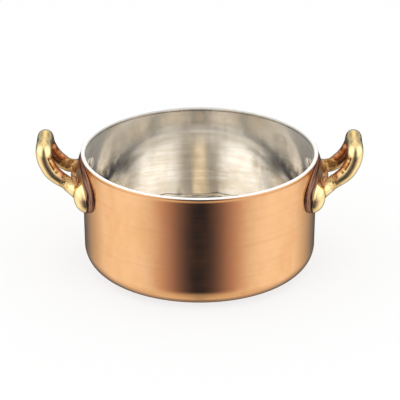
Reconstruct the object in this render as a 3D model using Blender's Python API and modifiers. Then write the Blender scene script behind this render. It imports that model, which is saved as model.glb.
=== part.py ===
"""Small two-handled copper pot, tinned inside, with cast brass handles riveted to its wall.

Metres, +Z up. The origin is the middle of the base, on the table, and the handles lie along X.
"""

import math

import bmesh
import bpy
from mathutils import Matrix, Vector

MM = 0.001

# Pot: one sheet of copper, drawn into a cup, with a thickened lip
INNER_RADIUS = 40.0 * MM
HEIGHT = 42.0 * MM
WALL = 1.05 * MM
LIP_RADIUS = 0.72 * MM
WALL_DRAFT = 0.5 * MM
CORNER_RADIUS = 7.5 * MM

# Tin lining, wiped over the inside and over the top of the lip
TIN = 0.15 * MM
TIN_GAP = 0.05 * MM
TIN_EDGE_ANGLE = 27.0

# Handles: points of the loop are given as distance out from the wall, distance
# sideways from the handle's middle, and rise above the rim
GRIP_OUT = 12.9 * MM
GRIP_RISE = 2.4 * MM
GRIP_RADIUS = 2.85 * MM
ARM_SIDE = 7.5 * MM
ARM_RADIUS = 2.6 * MM
FLANGE_SIDE = 19.3 * MM
FLANGE_TOP = -1.7 * MM
FLANGE_SHOULDER = -6.0 * MM
FLANGE_FOOT = -16.9 * MM
FLANGE_THICKNESS = 1.9 * MM
BORDER = 1.3 * MM
BORDER_THICKNESS = 0.8 * MM
BORDER_TOP_THICKNESS = 0.4 * MM
LOBE_INSET = 4.0 * MM
LOBE_RISE = -11.8 * MM
LOBE_THICKNESS = 4.9 * MM
LOBE_WIDTH = 7.8 * MM
LOBE_LENGTH = 11.4 * MM
LOBE_LEAN = 20.0
WEB_OUT = 4.0 * MM
WEB_RISE = -9.4 * MM
CAST_FILLET = 1.0 * MM
SEAT_CLEARANCE = 0.15 * MM
LOBE_SIDE = FLANGE_SIDE - BORDER - LOBE_INSET

# Rivets: a low head inside the pot and a shank that is set in the lobe
RIVET_INSET = 2.2 * MM
RIVET_LIFT = 1.9 * MM
RIVET_HEAD_RADIUS = 1.9 * MM
RIVET_HEAD_HEIGHT = 0.75 * MM
RIVET_SHANK_RADIUS = 1.1 * MM
RIVET_DEPTH = 2.4 * MM
RIVET_CLEARANCE = 0.1 * MM
RIVET_SIDE = LOBE_SIDE - RIVET_INSET
RIVET_RISE = LOBE_RISE + RIVET_LIFT

# Fineness of the meshes
TURNED_STEPS = 64
RIVET_STEPS = 16
CORNER_STEPS = 6
LIP_STEPS = 4
CAST_VOXEL = 0.3 * MM
CAST_SMOOTHING = 4
HANDLE_FACES = 4000
MERGE = 0.00001

WALL_RADIUS = INNER_RADIUS + WALL
LIP_CENTRE = (INNER_RADIUS + LIP_RADIUS, HEIGHT - LIP_RADIUS)


def clear_scene():
    for obj in list(bpy.data.objects):
        bpy.data.objects.remove(obj, do_unlink=True)


def new_collection(name):
    collection = bpy.data.collections.new(name)
    bpy.context.scene.collection.children.link(collection)
    return collection


def metal(name, colour, roughness):
    material = bpy.data.materials.new(name)
    material.use_nodes = True
    shader = material.node_tree.nodes["Principled BSDF"]
    shader.inputs["Base Color"].default_value = (*colour, 1.0)
    shader.inputs["Metallic"].default_value = 1.0
    shader.inputs["Roughness"].default_value = roughness
    return material


def new_object(name, data, collection, material=None):
    obj = bpy.data.objects.new(name, data)
    collection.objects.link(obj)
    if material:
        data.materials.append(material)
    return obj


def arc(centre, radius, start, end, steps):
    """Points from start to end degrees round centre, both ends included."""
    points = []
    for i in range(steps + 1):
        angle = math.radians(start + (end - start) * i / steps)
        points.append((centre[0] + radius * math.cos(angle), centre[1] + radius * math.sin(angle)))
    return points


def turned(name, profile, steps, collection, material=None):
    """A solid of revolution round Z from (radius, height) points, which end by running down the outside."""
    mesh = bpy.data.meshes.new(name)
    points = [profile[0]]
    for point in profile[1:]:
        if math.dist(point, points[-1]) > MERGE:
            points.append(point)
    edges = [(i, i + 1) for i in range(len(points) - 1)]
    mesh.from_pydata([(radius, 0.0, height) for radius, height in points], edges, [])
    obj = new_object(name, mesh, collection, material)
    screw = obj.modifiers.new("turn", "SCREW")
    screw.steps = steps
    screw.render_steps = steps
    screw.use_merge_vertices = True
    screw.merge_threshold = MERGE
    screw.use_smooth_shade = True
    return obj


def cutter(obj):
    obj.hide_render = True
    obj.display_type = "WIRE"
    return obj


def cut(obj, tool):
    boolean = obj.modifiers.new("cut by " + tool.name, "BOOLEAN")
    boolean.operation = "DIFFERENCE"
    boolean.solver = "EXACT"
    boolean.object = tool


def wall_radius_at(height):
    """Radius of the pot's outer face, which narrows towards the base."""
    share = (LIP_CENTRE[1] - height) / (LIP_CENTRE[1] - CORNER_RADIUS)
    return WALL_RADIUS - WALL_DRAFT * share


def cup(depth):
    """The pot's outer face moved inwards by depth, from the middle of the base up to the lip."""
    corner = (WALL_RADIUS - WALL_DRAFT - CORNER_RADIUS, CORNER_RADIUS)
    bend = arc(corner, CORNER_RADIUS - depth, -90.0, 0.0, CORNER_STEPS)
    return [(0.0, depth), *bend, (WALL_RADIUS - depth, LIP_CENTRE[1])]


def lip(radius, start, end, steps):
    return arc(LIP_CENTRE, radius, start, end, steps)


def under_lip_angle(grow=0.0):
    """Where the round of the lip runs into the wall, in degrees below the horizontal."""
    return math.degrees(math.acos((WALL_RADIUS + grow - LIP_CENTRE[0]) / (LIP_RADIUS + grow)))


def make_pot_body(collection, material):
    hidden = WALL - TIN - TIN_GAP
    profile = cup(hidden)
    profile += lip(LIP_RADIUS - TIN - TIN_GAP, 180.0, TIN_EDGE_ANGLE, LIP_STEPS)
    profile += lip(LIP_RADIUS, TIN_EDGE_ANGLE, -under_lip_angle(), LIP_STEPS)
    profile += reversed(cup(0.0)[:-1])
    return turned("pot_body", profile, TURNED_STEPS, collection, material)


def make_tin_lining(collection, material):
    edge = TIN_EDGE_ANGLE + math.degrees(TIN_GAP / LIP_RADIUS)
    profile = cup(WALL)
    profile += lip(LIP_RADIUS, 180.0, edge, LIP_STEPS)
    profile += lip(LIP_RADIUS - TIN, edge, 180.0, LIP_STEPS)
    profile += reversed(cup(WALL - TIN))
    return turned("tin_lining", profile, TURNED_STEPS, collection, material)


def make_seat_cutter(collection):
    """The outside of the pot with the handle's clearance added, which gives the handles their saddle."""
    reach = LIP_RADIUS + SEAT_CLEARANCE
    profile = [(0.0, HEIGHT + SEAT_CLEARANCE)]
    profile += lip(reach, 90.0, -under_lip_angle(SEAT_CLEARANCE), LIP_STEPS)
    profile += reversed(cup(-SEAT_CLEARANCE)[:-1])
    return cutter(turned("handle_seat", profile, TURNED_STEPS, collection))


def loop_point(out, side, rise):
    return Vector((WALL_RADIUS + out, side, HEIGHT + rise))


def wall_point(out, side, rise):
    """A point out from the wall, with side measured round the wall."""
    angle = side / WALL_RADIUS
    radius = WALL_RADIUS + out
    return Vector((radius * math.cos(angle), radius * math.sin(angle), HEIGHT + rise))


def loop_stations():
    """Points and radii of the handle's loop, from the middle of the grip down one arm into its lobe."""
    drop = GRIP_RISE - WEB_RISE
    return [
        (loop_point(GRIP_OUT, 0.0, GRIP_RISE), GRIP_RADIUS),
        (loop_point(GRIP_OUT, 0.74 * ARM_SIDE, GRIP_RISE), GRIP_RADIUS),
        (loop_point(0.994 * GRIP_OUT, 0.95 * ARM_SIDE, GRIP_RISE - 0.07 * drop), 0.985 * GRIP_RADIUS),
        (loop_point(0.965 * GRIP_OUT, ARM_SIDE, GRIP_RISE - 0.24 * drop), 0.97 * GRIP_RADIUS),
        (loop_point(0.89 * GRIP_OUT, ARM_SIDE, GRIP_RISE - 0.44 * drop), 1.06 * ARM_RADIUS),
        (loop_point(0.785 * GRIP_OUT, ARM_SIDE, GRIP_RISE - 0.63 * drop), 1.06 * ARM_RADIUS),
        (loop_point(0.61 * GRIP_OUT, ARM_SIDE, GRIP_RISE - 0.81 * drop), ARM_RADIUS),
        (loop_point(0.425 * GRIP_OUT, 1.01 * ARM_SIDE, GRIP_RISE - 0.95 * drop), 0.93 * ARM_RADIUS),
        (loop_point(0.26 * GRIP_OUT, 1.22 * ARM_SIDE, WEB_RISE - 0.05 * drop), 0.93 * ARM_RADIUS),
        (wall_point(0.45 * ARM_RADIUS, LOBE_SIDE, LOBE_RISE), ARM_RADIUS),
    ]


def make_loop(collection):
    """The grip and both arms as one tapering rod."""
    half = loop_stations()
    other = [(Vector((point.x, -point.y, point.z)), radius) for point, radius in half[:0:-1]]
    stations = other + half
    curve = bpy.data.curves.new("loop", "CURVE")
    curve.dimensions = "3D"
    curve.bevel_depth = 1.0
    curve.bevel_resolution = 5
    curve.use_fill_caps = True
    spline = curve.splines.new("BEZIER")
    spline.resolution_u = 8
    spline.bezier_points.add(len(stations) - 1)
    for knot, (point, radius) in zip(spline.bezier_points, stations):
        knot.co = point
        knot.radius = radius
        knot.handle_left_type = "AUTO"
        knot.handle_right_type = "AUTO"
    return mesh_from(new_object("loop", curve, collection), collection)


def mesh_from(obj, collection):
    """Replaces a curve, or an object with modifiers, with the closed mesh that it shows."""
    bpy.context.view_layer.update()
    graph = bpy.context.evaluated_depsgraph_get()
    mesh = bpy.data.meshes.new_from_object(obj.evaluated_get(graph))
    mesh.name = obj.name
    welded = bmesh.new()
    welded.from_mesh(mesh)
    bmesh.ops.remove_doubles(welded, verts=welded.verts, dist=MERGE)
    bmesh.ops.recalc_face_normals(welded, faces=welded.faces)
    welded.to_mesh(mesh)
    welded.free()
    made = new_object(obj.name, mesh, collection)
    made.matrix_world = obj.matrix_world.copy()
    bpy.data.objects.remove(obj, do_unlink=True)
    return made


def make_boss(name, side, rise, size, lean, collection):
    """An egg-shaped lump on the wall; size is its depth out from the wall, its width and its length."""
    mesh = bpy.data.meshes.new(name)
    ball = bmesh.new()
    bmesh.ops.create_uvsphere(ball, u_segments=32, v_segments=16, radius=1.0)
    depth, width, length = size
    shape = Matrix.Diagonal((depth, width / 2, length / 2, 1.0))
    tilt = Matrix.Rotation(math.radians(lean), 4, "X")
    turn = Matrix.Rotation(side / WALL_RADIUS, 4, "Z")
    place = Matrix.Translation(wall_point(0.0, side, rise))
    bmesh.ops.transform(ball, matrix=place @ turn @ tilt @ shape, verts=ball.verts)
    ball.to_mesh(mesh)
    ball.free()
    return new_object(name, mesh, collection)


def make_lobes(collection):
    """The two drop-shaped lobes over the rivets."""
    size = (LOBE_THICKNESS, LOBE_WIDTH, LOBE_LENGTH)
    return [
        make_boss("lobe", hand * LOBE_SIDE, LOBE_RISE, size, hand * LOBE_LEAN, collection)
        for hand in (-1, 1)
    ]


def make_web(collection):
    """The filled corner between the roots of the two arms."""
    size = (WEB_OUT, 2.2 * ARM_SIDE, 3.0 * ARM_RADIUS)
    return make_boss("web", 0.0, WEB_RISE, size, 0.0, collection)


def flange_outline(inset):
    """Half of the flange's edge, moved in by inset, as (side, rise) from the top round to the web."""
    side, top, foot = FLANGE_SIDE - inset, FLANGE_TOP - inset, FLANGE_FOOT + inset
    return [
        (0.0, top),
        (0.4 * side, top - 0.2 * MM),
        (0.68 * side, top - 1.5 * MM),
        (0.88 * side, top - 4.0 * MM),
        (side, 0.57 * foot),
        (0.985 * side, 0.77 * foot),
        (0.88 * side, 0.95 * foot),
        (0.72 * side, foot),
        (0.56 * side, 0.9 * foot),
        (0.42 * side, WEB_RISE - 2.2 * MM),
        (0.2 * side, WEB_RISE - 0.5 * MM),
        (0.0, WEB_RISE),
    ]


def make_saddle_plate(name, inset, thickness, top_thickness, collection):
    """A thin plate that follows the wall: the flange's outline pushed through a ring of the wall's curve."""
    half = flange_outline(inset)
    edge = half + [(-side, rise) for side, rise in half[-2:0:-1]]
    curve = bpy.data.curves.new(name, "CURVE")
    curve.dimensions = "2D"
    curve.fill_mode = "BOTH"
    curve.extrude = WALL_RADIUS / 2
    curve.resolution_u = 4
    spline = curve.splines.new("BEZIER")
    spline.bezier_points.add(len(edge) - 1)
    for knot, (side, rise) in zip(spline.bezier_points, edge):
        knot.co = (side, rise, 0.0)
        knot.handle_left_type = "AUTO"
        knot.handle_right_type = "AUTO"
    spline.use_cyclic_u = True
    plate = new_object(name, curve, collection)
    upright = Matrix(((0, 0, 1), (1, 0, 0), (0, 1, 0))).to_4x4()
    plate.matrix_world = Matrix.Translation((WALL_RADIUS, 0.0, HEIGHT)) @ upright
    plate = mesh_from(plate, collection)

    inner = WALL_RADIUS - FLANGE_THICKNESS
    edge, face = WALL_RADIUS + top_thickness, WALL_RADIUS + thickness
    top, shoulder, foot = (HEIGHT + rise for rise in (FLANGE_TOP, FLANGE_SHOULDER, 1.2 * FLANGE_FOOT))
    section = [(inner, foot), (inner, top), (edge, top), (face, shoulder), (face, foot), (inner, foot)]
    ring = turned(name + "_ring", section, TURNED_STEPS, collection)
    boolean = plate.modifiers.new("follow the wall", "BOOLEAN")
    boolean.operation = "INTERSECT"
    boolean.solver = "EXACT"
    boolean.object = ring
    plate = mesh_from(plate, collection)
    bpy.data.objects.remove(ring, do_unlink=True)
    return plate


def make_flange(collection):
    """The flange's low border, and the thicker plate inside it that carries the arms and the lobes."""
    return [
        make_saddle_plate("border", 0.0, BORDER_THICKNESS, BORDER_TOP_THICKNESS, collection),
        make_saddle_plate("plate", BORDER, FLANGE_THICKNESS, BORDER_THICKNESS, collection),
    ]


def joined(parts, name, collection):
    """One mesh object that holds all the parts' meshes."""
    together = bmesh.new()
    for part in parts:
        part.data.transform(part.matrix_world)
        together.from_mesh(part.data)
        bpy.data.objects.remove(part, do_unlink=True)
    mesh = bpy.data.meshes.new(name)
    together.to_mesh(mesh)
    together.free()
    return new_object(name, mesh, collection)


def voxels(obj, name):
    remesh = obj.modifiers.new(name, "REMESH")
    remesh.mode = "VOXEL"
    remesh.voxel_size = CAST_VOXEL
    remesh.use_smooth_shade = True


def displace(obj, name, distance):
    push = obj.modifiers.new(name, "DISPLACE")
    push.mid_level = 0.0
    push.strength = distance


def cast(obj, collection):
    """Fuses overlapping shapes into one casting: grown and shrunk again, so that inner corners fill."""
    voxels(obj, "fuse")
    displace(obj, "grow", CAST_FILLET)
    voxels(obj, "close corners")
    displace(obj, "shrink", -CAST_FILLET)
    voxels(obj, "even out")
    smooth = obj.modifiers.new("polish", "SMOOTH")
    smooth.factor = 0.5
    smooth.iterations = CAST_SMOOTHING
    fused = mesh_from(obj, collection)
    faces = sum(len(polygon.vertices) - 2 for polygon in fused.data.polygons)
    thin = fused.modifiers.new("fewer faces", "DECIMATE")
    thin.ratio = min(1.0, HANDLE_FACES / faces)
    fused = mesh_from(fused, collection)
    fused.data.shade_smooth()
    return fused


def make_handle_blank(collection):
    """One cast handle at +X, before its saddle and its rivet holes are cut."""
    parts = [make_loop(collection), make_web(collection)]
    parts += make_flange(collection) + make_lobes(collection)
    return cast(joined(parts, "handle_blank", collection), collection)


def rivet_place(angle):
    """Where a rivet's head meets the lining, with its own +Z pointing out through the wall."""
    height = HEIGHT + RIVET_RISE
    lining = (wall_radius_at(height) - WALL) * math.cos(math.pi / TURNED_STEPS)
    seat = math.sqrt(lining**2 - RIVET_HEAD_RADIUS**2) - RIVET_CLEARANCE
    radial = Matrix.Rotation(math.radians(angle), 4, "Z")
    lay_down = Matrix.Rotation(math.pi / 2, 4, "Y")
    return radial @ Matrix.Translation((seat, 0.0, height)) @ lay_down


def rivet_length():
    """From under the head to the shank's end in the lobe."""
    height = HEIGHT + RIVET_RISE
    return wall_radius_at(height) + RIVET_DEPTH - rivet_place(0.0).translation.x


def make_rivet(name, angle, collection, material):
    shank, head = RIVET_SHANK_RADIUS, RIVET_HEAD_RADIUS
    length = rivet_length()
    chamfer = 0.2 * shank
    rim = 0.25 * RIVET_HEAD_HEIGHT
    dome = RIVET_HEAD_HEIGHT - rim
    bulge = [
        (head * math.cos(math.radians(step)), -rim - dome * math.sin(math.radians(step)))
        for step in (0.0, 22.5, 45.0, 67.5)
    ]
    profile = [(0.0, length), (shank - chamfer, length), (shank, length - chamfer), (shank, 0.0)]
    profile += [(head, 0.0), *bulge, (0.0, -RIVET_HEAD_HEIGHT)]
    rivet = turned(name, profile, RIVET_STEPS, collection, material)
    rivet.matrix_world = rivet_place(angle)
    return rivet


def make_rivet_hole(name, angle, collection):
    radius = RIVET_SHANK_RADIUS + RIVET_CLEARANCE
    deep = rivet_length() + RIVET_CLEARANCE
    before = -2.0 * WALL
    profile = [(0.0, deep), (radius, deep), (radius, before), (0.0, before)]
    hole = cutter(turned(name, profile, RIVET_STEPS, collection))
    hole.matrix_world = rivet_place(angle)
    return hole


def main():
    clear_scene()
    parts = new_collection("two_handled_pot")
    cutters = new_collection("cutters")
    copper = metal("copper", (0.86, 0.46, 0.27), 0.3)
    tin = metal("tin", (0.78, 0.76, 0.7), 0.3)
    brass = metal("brass", (0.86, 0.68, 0.32), 0.12)

    body = make_pot_body(parts, copper)
    lining = make_tin_lining(parts, tin)
    seat = make_seat_cutter(cutters)
    blank = make_handle_blank(cutters)

    for hand, turn in (("right", 0.0), ("left", 180.0)):
        handle = new_object("handle_" + hand, blank.data.copy(), parts, brass)
        handle.rotation_euler.z = math.radians(turn)
        cut(handle, seat)
        near = -1 if hand == "right" else 1
        for place, side in (("near", near), ("far", -near)):
            angle = turn + side * math.degrees(RIVET_SIDE / WALL_RADIUS)
            make_rivet(f"rivet_{hand}_{place}", angle, parts, tin)
            hole = make_rivet_hole(f"rivet_hole_{hand}_{place}", angle, cutters)
            for piece in (body, lining, handle):
                cut(piece, hole)
    bpy.data.objects.remove(blank, do_unlink=True)


main()
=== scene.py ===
"""Small two-handled copper pot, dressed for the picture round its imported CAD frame.

Metres, +Z up. The origin is the middle of the base, the handles lie along X, and the viewer
stands at -Y. Each sub-assembly is a class that holds its own sizes, and each finish is a frozen
dataclass that builds one material from nodes.
"""

import logging
import math
from collections.abc import Iterable, Sequence
from dataclasses import dataclass
from enum import Enum
from functools import reduce
from typing import Any

import bmesh
import bpy
from mathutils import Matrix, Vector, noise
from mathutils.bvhtree import BVHTree
from mathutils.kdtree import KDTree


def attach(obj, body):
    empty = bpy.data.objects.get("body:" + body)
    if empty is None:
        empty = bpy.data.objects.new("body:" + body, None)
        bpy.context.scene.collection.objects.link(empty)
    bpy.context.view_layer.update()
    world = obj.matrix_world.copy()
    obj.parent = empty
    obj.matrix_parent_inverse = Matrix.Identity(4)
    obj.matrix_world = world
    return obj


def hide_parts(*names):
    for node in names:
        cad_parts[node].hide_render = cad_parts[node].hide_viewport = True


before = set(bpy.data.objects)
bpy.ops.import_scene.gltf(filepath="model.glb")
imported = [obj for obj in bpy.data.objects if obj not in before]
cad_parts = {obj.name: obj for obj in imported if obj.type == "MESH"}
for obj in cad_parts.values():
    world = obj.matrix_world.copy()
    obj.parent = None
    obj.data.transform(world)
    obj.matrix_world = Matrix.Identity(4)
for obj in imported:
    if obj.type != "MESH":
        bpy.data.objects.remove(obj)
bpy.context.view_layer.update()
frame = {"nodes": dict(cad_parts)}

MM = 0.001
TINY = 1e-6
CRISP_ANGLE = 40.0
ROOT = "root"
LOG = logging.getLogger("two_handled_pot")

Point = tuple[float, float]
Size = tuple[float, float, float]
Span = tuple[float, ...]
Colour = tuple[float, float, float]
Stop = tuple[float, Colour]
Station = tuple[Vector, float]
Inputs = dict[str | int, Any]
Socket = bpy.types.NodeSocket
Node = bpy.types.Node
Material = bpy.types.Material
Mesh = bpy.types.Mesh
Object = bpy.types.Object


class Hand(Enum):
    """Which side of the pot a handle is on, as its turn round Z in degrees."""

    RIGHT = 0.0
    LEFT = 180.0

    @property
    def label(self) -> str:
        """The word that the CAD nodes use for this side."""
        return self.name.lower()


class Quality(Enum):
    """How fine the castings are, as the voxel size in metres."""

    DRAFT = 0.3 * MM
    FINAL = 0.16 * MM


@dataclass(frozen=True)
class Grain:
    """One noise texture, with the turn in degrees and the stretch of the place that it reads."""

    scale: float
    detail: float
    rough: float
    stretch: Size = (1.0, 1.0, 1.0)
    turn: Size = (0.0, 0.0, 0.0)


class Graph:
    """A material's or a world's node tree while it is being built.

    A value that its methods take is a plain value or another node's output socket.
    """

    SPAN_INPUTS = ("Value", "From Min", "From Max", "To Min", "To Max")

    def __init__(self, tree: bpy.types.NodeTree) -> None:
        """Takes over the tree of a new material or world and removes the nodes that it has."""
        self.tree = tree
        tree.nodes.clear()

    def add(self, kind: str, inputs: Inputs | None = None, **settings: Any) -> Node:
        """Adds a node.

        Args:
            kind: the node's type name.
            inputs: a value for each named or numbered input.
            settings: the node's own properties.

        Returns:
            The new node.
        """
        node = self.tree.nodes.new(kind)
        for name, value in settings.items():
            setattr(node, name, value)
        self.wire(node, inputs or {})
        return node

    def wire(self, node: Node, inputs: Inputs) -> None:
        """Links a node's inputs to output sockets, or sets their own values.

        Args:
            node: the node.
            inputs: a value for each named or numbered input.
        """
        for key, value in inputs.items():
            socket = node.inputs[key]
            if isinstance(value, Socket):
                self.tree.links.new(value, socket)
            else:
                socket.default_value = (*value, 1.0) if socket.type == "RGBA" else value

    def math(self, operation: str, first: Any, second: Any = 0.0) -> Socket:
        """A Math node's result."""
        return self.add("ShaderNodeMath", {0: first, 1: second}, operation=operation).outputs[0]

    def plus(self, first: Any, second: Any) -> Socket:
        """The sum of two values."""
        return self.math("ADD", first, second)

    def times(self, *values: Any) -> Socket:
        """The product of the values."""
        return reduce(lambda first, second: self.math("MULTIPLY", first, second), values)

    def most(self, *values: Any) -> Socket:
        """The largest of the values."""
        return reduce(lambda first, second: self.math("MAXIMUM", first, second), values)

    def apart(self, first: Any, second: Any) -> Socket:
        """How far apart two values are."""
        return self.math("ABSOLUTE", self.math("SUBTRACT", first, second))

    def length(self, first: Any, second: Any) -> Socket:
        """The length of the flat vector with these two parts."""
        return self.math("SQRT", self.plus(self.times(first, first), self.times(second, second)))

    def remap(self, value: Any, low: float, high: float, *ends: float) -> Socket:
        """Moves the value smoothly from the range low to high into 0 to 1, or into the ends."""
        inputs = dict(zip(self.SPAN_INPUTS, (value, low, high, *(ends or (0.0, 1.0)))))
        return self.add("ShaderNodeMapRange", inputs, interpolation_type="SMOOTHSTEP").outputs[0]

    def ramp(self, value: Any, stops: Sequence[Stop]) -> Socket:
        """A colour ramp's colour.

        Args:
            value: what the ramp reads.
            stops: each stop's place and colour, in order.

        Returns:
            The colour.
        """
        node = self.add("ShaderNodeValToRGB", {"Fac": value})
        elements = node.color_ramp.elements
        for element, (place, colour) in zip(elements, (stops[0], stops[-1])):
            element.position, element.color = place, (*colour, 1.0)
        for place, colour in stops[1:-1]:
            elements.new(place).color = (*colour, 1.0)
        return node.outputs["Color"]

    def mix(self, factor: Any, first: Any, second: Any) -> Socket:
        """Two colours mixed, the second one by the factor."""
        inputs = {0: factor, 6: first, 7: second}
        return self.add("ShaderNodeMix", inputs, data_type="RGBA").outputs[2]

    def grain(self, place: Socket, grain: Grain) -> Socket:
        """A noise texture's value, about 0.5 on average.

        Args:
            place: where the noise is read.
            grain: the noise.

        Returns:
            The value.
        """
        if grain.stretch != Grain.stretch or grain.turn != Grain.turn:
            turn = tuple(math.radians(angle) for angle in grain.turn)
            inputs = {"Vector": place, "Rotation": turn, "Scale": grain.stretch}
            place = self.add("ShaderNodeMapping", inputs).outputs[0]
        inputs = {"Scale": grain.scale, "Detail": grain.detail, "Roughness": grain.rough}
        return self.add("ShaderNodeTexNoise", {"Vector": place, **inputs}).outputs[0]

    def grains(self, place: Socket, *grains: Grain) -> list[Socket]:
        """The values of several noise textures that are read at one place."""
        return [self.grain(place, grain) for grain in grains]

    def parts(self, vector: Socket) -> tuple[Socket, Socket, Socket]:
        """The vector's X, Y and Z."""
        return tuple(self.add("ShaderNodeSeparateXYZ", {0: vector}).outputs[:3])

    def stored(self, name: str) -> Socket:
        """A number that the mesh stores at its points."""
        return self.add("ShaderNodeAttribute", attribute_name=name).outputs["Fac"]

    def bump(self, height: Socket, depth: float, strength: float, *under: Socket) -> Socket:
        """The normal of a bump of a depth in metres, over the normal of a wider one under it."""
        inputs = {"Height": height, "Distance": depth, "Strength": strength}
        return self.add("ShaderNodeBump", inputs | dict(zip(("Normal",), under))).outputs[0]


def new_material(name: str) -> tuple[Material, Graph, Node, Socket]:
    """A material with a Principled shader that still has to be wired.

    Args:
        name: the material's name.

    Returns:
        The material, its graph, its shader node and the place on the object.
    """
    material = bpy.data.materials.new(name)
    material.use_nodes = True
    graph = Graph(material.node_tree)
    shader = graph.add("ShaderNodeBsdfPrincipled")
    graph.add("ShaderNodeOutputMaterial", {"Surface": shader.outputs[0]})
    return material, graph, shader, graph.add("ShaderNodeTexCoord").outputs["Object"]


@dataclass(frozen=True)
class SatinCopper:
    """Copper that was polished round the pot, with fine turning lines and a little mottling.

    A span holds the two readings between which a mark comes in, then its shares at the two where
    they aren't 0 and 1. A bump holds its depth and its strength.
    """

    colour: Colour = (0.9, 0.52, 0.26)
    worn: Colour = (0.87, 0.47, 0.22)
    tarnish: Colour = (0.6, 0.3, 0.17)
    lines: Grain = Grain(1.0 / (0.9 * MM), 4.0, 0.65, (0.02, 0.02, 1.0))
    mottle: Grain = Grain(150.0, 5.0, 0.6, (1.0, 1.0, 0.6))
    clouds: Grain = Grain(45.0, 2.0, 0.5, (1.0, 1.0, 0.35))
    worn_span: Span = (0.35, 0.75)
    foot_span: Span = (0.0, 5.0 * MM, 0.75, 0.0)
    foot_clouds: Span = (0.2, 0.7, 0.5, 1.0)
    line_tarnish: Span = (0.45, 0.75, 0.0, 0.12)
    mottle_roughness: Span = (0.3, 0.8, 0.17, 0.25)
    line_roughness: Span = (0.3, 0.7, -0.02, 0.03)
    mottle_bump: Point = (0.01 * MM, 0.4)
    line_bump: Point = (0.004 * MM, 0.6)
    metallic: float = 1.0

    def material(self) -> Material:
        """Builds the copper.

        Returns:
            The material.
        """
        material, graph, shader, place = new_material("satin_copper")
        lines, mottle, clouds = graph.grains(place, self.lines, self.mottle, self.clouds)
        foot = graph.remap(graph.parts(place)[2], *self.foot_span)
        foot = graph.times(foot, graph.remap(clouds, *self.foot_clouds))
        colour = graph.mix(graph.remap(mottle, *self.worn_span), self.colour, self.worn)
        colour = graph.mix(foot, colour, self.tarnish)
        colour = graph.mix(graph.remap(lines, *self.line_tarnish), colour, self.tarnish)
        rough = graph.remap(mottle, *self.mottle_roughness)
        wide = graph.bump(mottle, *self.mottle_bump)
        finish = {
            "Base Color": colour,
            "Roughness": graph.plus(rough, graph.remap(lines, *self.line_roughness)),
            "Normal": graph.bump(lines, *self.line_bump, wide),
            "Metallic": self.metallic,
        }
        graph.wire(shader, finish)
        return material


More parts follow.
